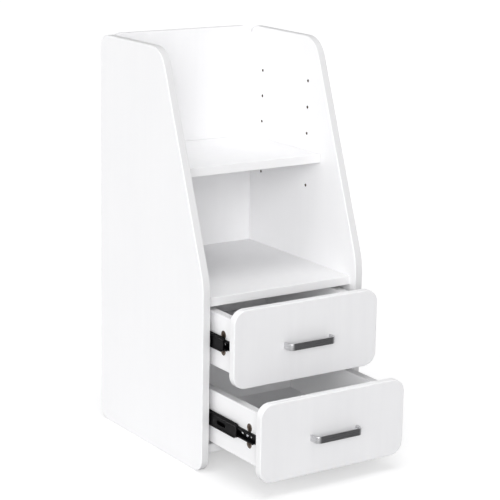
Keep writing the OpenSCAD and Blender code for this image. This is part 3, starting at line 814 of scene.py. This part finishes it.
bar_tree, n, l, gin, gout = geometry_tree(
    "bent_bar", "Bar", ("Path", "Geometry"), ("Bar height", "Float"), ("Bar thickness", "Float"),
    ("Bend radius", "Float"), ("Arris radius", "Float"), ("Finish", "Material"))
to_curve = n.new("GeometryNodeMeshToCurve")
bend = put(n, "GeometryNodeFilletCurve", mode="POLY")
bend.inputs["Count"].default_value = 12
upright = put(n, "GeometryNodeSetCurveNormal", mode="Z_UP")
section = put(n, "GeometryNodeCurvePrimitiveQuadrilateral", mode="RECTANGLE")
soften = put(n, "GeometryNodeFilletCurve", mode="POLY")
soften.inputs["Count"].default_value = 4
sweep = n.new("GeometryNodeCurveToMesh")
sweep.inputs["Fill Caps"].default_value = True
real = n.new("GeometryNodeRealizeInstances")
finish = n.new("GeometryNodeSetMaterial")
l.new(gin.outputs["Path"], to_curve.inputs["Mesh"])
l.new(to_curve.outputs["Curve"], bend.inputs["Curve"])
l.new(gin.outputs["Bend radius"], bend.inputs["Radius"])
l.new(bend.outputs["Curve"], upright.inputs["Curve"])
l.new(upright.outputs["Curve"], sweep.inputs["Curve"])
l.new(gin.outputs["Bar thickness"], section.inputs["Width"])
l.new(gin.outputs["Bar height"], section.inputs["Height"])
l.new(section.outputs["Curve"], soften.inputs["Curve"])
l.new(gin.outputs["Arris radius"], soften.inputs["Radius"])
l.new(soften.outputs["Curve"], sweep.inputs["Profile Curve"])
l.new(sweep.outputs["Mesh"], real.inputs["Geometry"])
l.new(real.outputs["Geometry"], finish.inputs["Geometry"])
l.new(gin.outputs["Finish"], finish.inputs["Material"])
l.new(finish.outputs["Geometry"], gout.inputs["Bar"])

# Brushing: long fine streaks along the bar.
brushed, n, l, gin, gout = shader_group("brushed_streaks", {"Streak scale": 1400.0}, ["Streaks"])
along = put(n, "ShaderNodeMapping")
along.inputs["Scale"].default_value = (0.02, 0.05, 1.0)
l.new(gin.outputs["Vector"], along.inputs["Vector"])
l.new(noise(n, l, along.outputs["Vector"], gin.outputs["Streak scale"], 3.0, 0.6), gout.inputs["Streaks"])

grey_steel, nodes, links, shader, bump, where = new_material("brushed_grey_steel")
streaks = group_node(nodes, links, brushed, where)
use = group_node(nodes, links, handled, where, Cloud_scale=60.0, Scuff_scale=700.0)
streak_tone = ranged(nodes, links, streaks.outputs["Streaks"], 0.3, 0.7, 0.0, 1.0)
# Two tones: a dark grey for the flat front and a much lighter grey on the bends and legs, which paints a
# highlight there.
front_steel_grey = mixed(nodes, links, streak_tone, (0.110, 0.110, 0.113, 1), (0.165, 0.165, 0.169, 1))
painted_bend_highlight = mixed(nodes, links, streak_tone, (0.56, 0.56, 0.57, 1), (0.70, 0.70, 0.71, 1))
bend_highlight = put(nodes, "ShaderNodeAttribute", attribute_name="bend_highlight")
links.new(mixed(nodes, links, bend_highlight.outputs["Fac"], front_steel_grey, painted_bend_highlight), shader.inputs["Base Color"])
links.new(maths(nodes, links, "ADD", ranged(nodes, links, streaks.outputs["Streaks"], 0.3, 0.7, 0.24, 0.36),
                maths(nodes, links, "MULTIPLY", use.outputs["Scuffs"], 0.08)), shader.inputs["Roughness"])
links.new(streaks.outputs["Streaks"], bump.inputs["Height"])
bump.inputs["Strength"].default_value = 0.2
bump.inputs["Distance"].default_value = 0.00004
shader.inputs["Metallic"].default_value = 1.0

for drawer in drawers:
    low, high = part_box(drawer + "_handle")
    half = (high.x - low.x) / 2 - foot_room
    mid_z = (low.z + high.z) / 2
    path = bpy.data.meshes.new("bar_path")
    foot_x, front_face = half - bar_thick / 2, high.y
    bar_y = low.y + bar_thick / 2
    path.from_pydata([(-foot_x, front_face, mid_z), (-foot_x, bar_y, mid_z),
                      (foot_x, bar_y, mid_z), (foot_x, front_face, mid_z)],
                     [(0, 1), (1, 2), (2, 3)], [])
    bar = grown(drawer + "_handle_bar", bar_tree,
                {"Bar height": bar_height, "Bar thickness": bar_thick, "Bend radius": bar_bend,
                 "Arris radius": bar_arris, "Finish": grey_steel}, path)
    # This mark picks out the bends and legs, where the lighter grey paints a highlight.
    bend_highlight_mark = bar.data.attributes.new("bend_highlight", "FLOAT", "POINT")
    bend_start = foot_x - bar_bend
    for vert, mark in zip(bar.data.vertices, bend_highlight_mark.data):
        round_bend = math.atan2(abs(vert.co.x) - bend_start, max(bar_y + bar_bend - vert.co.y, 1e-6))
        mark.value = min(1.0, max(0.0, (math.degrees(round_bend) - 6) / 30))
    bar.data.polygons.foreach_set("use_smooth", [True] * len(bar.data.polygons))
    bar.data.set_sharp_from_angle(angle=math.radians(32))
    stands_for(bar, drawer + "_drawer", "handle_metal", drawer + "_handle")

# ---------------------------------------------------------------- slide members
# Three-part ball slides of rolled steel, electrocoated black: one member on the case side, one that
# floats in the middle and one screwed to the drawer box.

black_coat, nodes, links, shader, bump, where = new_material("black_electrocoat")
use = group_node(nodes, links, handled, where, Cloud_scale=45.0, Scuff_scale=420.0)
streaks = group_node(nodes, links, brushed, where, Streak_scale=500.0)
coat_tone = ranged(nodes, links, use.outputs["Cloud"], 0.35, 0.65, 0.0, 1.0)
coat = mixed(nodes, links, coat_tone, (0.0015, 0.0015, 0.0018, 1), (0.003, 0.003, 0.0035, 1))
worn = group_node(nodes, links, edge_wear, where, Amount=0.6)
scuffed = mixed(nodes, links, maths(nodes, links, "MULTIPLY", use.outputs["Scuffs"], 0.2), coat,
                (0.03, 0.03, 0.032, 1))
links.new(mixed(nodes, links, worn.outputs["Mask"], scuffed, (0.05, 0.05, 0.053, 1)),
          shader.inputs["Base Color"])
links.new(ranged(nodes, links, use.outputs["Cloud"], 0.3, 0.7, 0.26, 0.36), shader.inputs["Roughness"])
links.new(streaks.outputs["Streaks"], bump.inputs["Height"])
bump.inputs["Strength"].default_value = 0.25
bump.inputs["Distance"].default_value = 0.00005
shader.inputs["Specular IOR Level"].default_value = 0.12


def coated(node, material, arris):
    """Keeps a CAD node as it is, with its corners eased and the real finish."""
    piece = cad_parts[node]
    for material_slot in piece.material_slots:
        material_slot.material = material
    if not piece.material_slots:
        piece.data.materials.append(material)
    weld = piece.modifiers.new("weld", "WELD")
    weld.merge_threshold = 0.000002
    if arris:
        ease = piece.modifiers.new("ease", "BEVEL")
        ease.width, ease.segments, ease.limit_method = arris, 2, "ANGLE"
        ease.angle_limit = math.radians(50)
        ease.use_clamp_overlap = True
    return piece


def rolled(name, half_section, hand, low, high, *cutters):
    """A member rolled from strip: its upper half section, (depth from the case side, height above the
    middle), is mirrored below and drawn out from front to rear."""
    mid_z = (low.z + high.z) / 2
    section = half_section + [(u, -v) for u, v in reversed(half_section)]
    bm = bmesh.new()
    mark = bm.verts.layers.float.new("arris")
    loops = []
    for y in (low.y, low.y + end_arris, high.y - end_arris, high.y):
        at_end = 0.0 if low.y < y < high.y else 1.0
        ease = at_end * end_arris / 2
        loop = []
        for u, v in section:
            vert = bm.verts.new((hand * (case_inner_x - u), y, mid_z + v - math.copysign(ease, v)))
            vert[mark] = at_end
            loop.append(vert)
        loops.append(loop)
    for a, b in zip(loops, loops[1:]):
        for k in range(len(section)):
            bm.faces.new((a[k - 1], a[k], b[k], b[k - 1]))
    bm.faces.new(loops[0])
    bm.faces.new(loops[-1])
    bmesh.ops.recalc_face_normals(bm, faces=bm.faces)
    member = as_piece(name, bm, black_coat, smooth_below=50)
    member.modifiers.clear()
    cut_away(member, *cutters)
    member.data.set_sharp_from_angle(angle=math.radians(50))
    return member


def curl(centre, radius, start, end, steps=8):
    """Points of a bend in a section, angles in degrees."""
    return [(centre[0] + radius * math.cos(math.radians(start + (end - start) * k / steps)),
             centre[1] + radius * math.sin(math.radians(start + (end - start) * k / steps)))
            for k in range(steps + 1)]


def prism(name, x0, x1, outline):
    """A cutter that lies across the cabinet from x0 to x1, with an outline of (y, z)."""
    bm = bmesh.new()
    ends = [[bm.verts.new((x, y, z)) for y, z in outline] for x in (x0, x1)]
    for k in range(len(outline)):
        bm.faces.new((ends[0][k - 1], ends[0][k], ends[1][k], ends[1][k - 1]))
    for end in ends:
        bm.faces.new(end)
    bmesh.ops.recalc_face_normals(bm, faces=bm.faces)
    mesh = bpy.data.meshes.new(name)
    bm.to_mesh(mesh)
    bm.free()
    cutter = bpy.data.objects.new(name, mesh)
    scene.collection.objects.link(cutter)
    return cutter


end_arris = 0.0003
clear = 0.001
race_r = 0.00205
outer_race, inner_race = (0.0060, 0.01375), (0.0072, 0.00875)
mid_face, mid_web, mid_tip, mid_half = 0.0023, 0.0035, 0.0096, 0.0132
bead_v, bead_sunk = 0.0090, 0.0006
curl_r, tip_r = 0.0016, 0.0003
outer_cut = math.degrees(math.asin((outer_race[1] - mid_half) / race_r))
inner_v = 0.0093
inner_cut = math.degrees(math.asin((inner_v - inner_race[1]) / race_r))
mid_half_section = (
    [(mid_web, inner_v)] + curl(inner_race, race_r, 180 - inner_cut, inner_cut)
    + curl((mid_tip - tip_r, inner_v + tip_r), tip_r, -90, 0, 3)
    + curl((mid_tip - tip_r, mid_half - tip_r), tip_r, 0, 90, 3)
    + curl(outer_race, race_r, -outer_cut, outer_cut - 180)
    + curl((mid_face + curl_r, mid_half - curl_r), curl_r, 90, 180)
    + [(mid_face, bead_v + 0.0006), (mid_face + bead_sunk, bead_v)])
window_y, window_l, window_h = 0.035, 0.028, 0.008
corner_y, corner_z = 0.0075, 0.0045
for drawer in drawers:
    for hand, side in ((-1, "left"), (1, "right")):
        for member in ("case_rail", "drawer_rail"):
            coated(f"{drawer}_{member}_{side}", black_coat, 0.0002)
        node = f"{drawer}_mid_rail_{side}"
        low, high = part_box(node)
        mid_z = (low.z + high.z) / 2
        web_x = hand * (case_inner_x - mid_face)
        ends = (low.y + window_y + window_h / 2, low.y + window_y + window_l - window_h / 2)
        window = (curl((ends[1], mid_z), window_h / 2, -90, 90, 14)
                  + curl((ends[0], mid_z), window_h / 2, 90, 270, 14))
        cutters = [prism("window", web_x - 0.002, web_x + 0.002, window)]
        for s in (1, -1):
            cutters.append(prism("corner", low.x - 0.001, high.x + 0.001,
                                 [(low.y + y, mid_z + s * (mid_half + z)) for y, z in
                                  ((-clear, clear), (corner_y * (1 + clear / corner_z), clear),
                                   (-clear, -corner_z * (1 + clear / corner_y)))]))
        piece = rolled(node + "_rolled", mid_half_section, hand, low, high, *cutters)
        stands_for(piece, drawer + "_mid_rails", "black_rail", node)

# ---------------------------------------------------------------- ball cages and balls
# Pressed steel strips that hold polished balls in two races above and two below, so that the members
# roll on each other.

cage_steel = plated_steel("cage_strip", (0.42, 0.42, 0.43, 1), (0.30, 0.30, 0.31, 1), 0.35, 600.0)
ball_steel = plated_steel("ball_steel", (0.78, 0.78, 0.79, 1), (0.70, 0.70, 0.72, 1), 0.08, 1500.0)
ball_r = 0.0020
ball_count = 5

race_tree, n, l, gin, gout = geometry_tree(
    "ball_races", "Races", ("Start", "Geometry"), ("Ball radius", "Float"), ("Balls", "Int"),
    ("First ball", "Vector"), ("Step", "Vector"), ("Finish", "Material"))
row = put(n, "GeometryNodeMeshLine", mode="OFFSET")
ball = n.new("GeometryNodeMeshUVSphere")
ball.inputs["Segments"].default_value = 24
ball.inputs["Rings"].default_value = 12
smooth = n.new("GeometryNodeSetShadeSmooth")
spread = n.new("GeometryNodeInstanceOnPoints")
real = n.new("GeometryNodeRealizeInstances")
finish = n.new("GeometryNodeSetMaterial")
l.new(gin.outputs["Balls"], row.inputs["Count"])
l.new(gin.outputs["First ball"], row.inputs["Start Location"])
l.new(gin.outputs["Step"], row.inputs["Offset"])
l.new(gin.outputs["Ball radius"], ball.inputs["Radius"])
l.new(ball.outputs["Mesh"], smooth.inputs["Geometry"])
l.new(row.outputs["Mesh"], spread.inputs["Points"])
l.new(smooth.outputs["Geometry"], spread.inputs["Instance"])
l.new(spread.outputs["Instances"], real.inputs["Geometry"])
l.new(real.outputs["Geometry"], finish.inputs["Geometry"])
l.new(gin.outputs["Finish"], finish.inputs["Material"])
l.new(finish.outputs["Geometry"], gout.inputs["Races"])

for drawer in drawers:
    for ring in ("outer", "inner"):
        node = f"{drawer}_{ring}_balls"
        low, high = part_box(node)
        step = (high.y - low.y - 2 * ball_r) / (ball_count - 1)
        rows = []
        for x in (low.x + ball_r, high.x - ball_r):
            for z in (low.z + ball_r, high.z - ball_r):
                rows.append(grown("ball_row", race_tree,
                                  {"Ball radius": ball_r, "Balls": ball_count,
                                   "First ball": (x, low.y + ball_r, z), "Step": (0, step, 0),
                                   "Finish": ball_steel}))
        with bpy.context.temp_override(active_object=rows[0], selected_editable_objects=rows):
            bpy.ops.object.join()
        rows[0].name = node + "_races"
        body = f"{drawer}_{ring}_ball_cages"
        stands_for(rows[0], body, "ball_steel", node)
        coated(f"{drawer}_{ring}_cages", cage_steel, 0)

# ---------------------------------------------------------------- screws, bolts and dowels
# Zinc-plated screws and cam bolts, and fluted beech dowels that stay hidden inside the boards.


def screw_part(head_r, head_h, shank_r, length):
    """A pan-head screw, head up along +z with its seat at z = 0, and a cross recess."""
    bm = bmesh.new()
    profile = [(0, -length), (shank_r * 0.3, -length + 0.0004), (shank_r, -length + 0.0024),
               (shank_r, 0), (head_r - 0.0002, 0), (head_r, 0.0003)]
    for k in range(1, 6):
        angle = math.pi / 2 * k / 5
        profile.append((head_r * math.cos(angle * 0.8), 0.0003 + (head_h - 0.0003) * math.sin(angle)))
    profile.append((0, head_h))
    turned(bm, profile, 32)
    recess_half, recess_foot = 0.0004, head_h * 0.25
    return cut_away(plain_part("screw_part", bm, zinc),
                    *cross(head_r * 0.58, recess_half, recess_foot, head_h + 0.001))


# Head radius, head height, shank radius and length of each kind of screw.
rail_screw = (0.0030, 0.0015, 0.00174, 0.0125)
handle_screw = (0.0040, 0.0021, 0.0019, 0.0245)
member_screws = (0.027, 0.080, 0.250)
member_web = 0.0012
head_play = 0.0001
for drawer in drawers:
    places = []
    for hand, side in ((-1, "left"), (1, "right")):
        low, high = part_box(f"{drawer}_drawer_rail_{side}")
        web_x = low.x + member_web if hand > 0 else high.x - member_web
        for hole in member_screws:
            places.append(((web_x, low.y + hole, (low.z + high.z) / 2), (0, hand * math.pi / 2, 0)))
    screws = laid_out(drawer + "_rail_screw_set", screw_part(*rail_screw), places, zinc)
    stands_for(screws, drawer + "_drawer", "zinc_steel", drawer + "_rail_screws")

    low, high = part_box(drawer + "_handle_screws")
    head_r, head_h = handle_screw[:2]
    seat = (high.y - head_h - head_play, (low.z + high.z) / 2)
    places = [((x, *seat), (-math.pi / 2, 0, 0)) for x in (low.x + head_r, high.x - head_r)]
    screws = laid_out(drawer + "_handle_screw_set", screw_part(*handle_screw), places, zinc)
    stands_for(screws, drawer + "_drawer", "zinc_steel", drawer + "_handle_screws")

beech, nodes, links, shader, bump, where = new_material("raw_beech")
fibres = put(nodes, "ShaderNodeMapping")
fibres.inputs["Scale"].default_value = (0.1, 1.0, 1.0)
links.new(where, fibres.inputs["Vector"])
fibre = noise(nodes, links, fibres.outputs["Vector"], 900.0, 4.0, 0.6)
fibre_tone = mixed(nodes, links, fibre, (0.62, 0.44, 0.27, 1), (0.48, 0.32, 0.18, 1))
links.new(fibre_tone, shader.inputs["Base Color"])
links.new(ranged(nodes, links, fibre, 0.3, 0.7, 0.6, 0.75), shader.inputs["Roughness"])
links.new(fibre, bump.inputs["Height"])
bump.inputs["Distance"].default_value = 0.0001

for node, material, slot in (
        ("case_dowels", beech, "beech"), ("upper_dowels", beech, "beech"), ("lower_dowels", beech, "beech"),
        ("case_cam_bolts", zinc, "zinc_steel"), ("upper_cam_bolts", zinc, "zinc_steel"),
        ("lower_cam_bolts", zinc, "zinc_steel"), ("back_screws", zinc, "zinc_steel"),
        ("case_rail_screws", zinc, "zinc_steel"), ("upper_box_screws", zinc, "zinc_steel"),
        ("lower_box_screws", zinc, "zinc_steel")):
    coated(node, material, 0.0002)
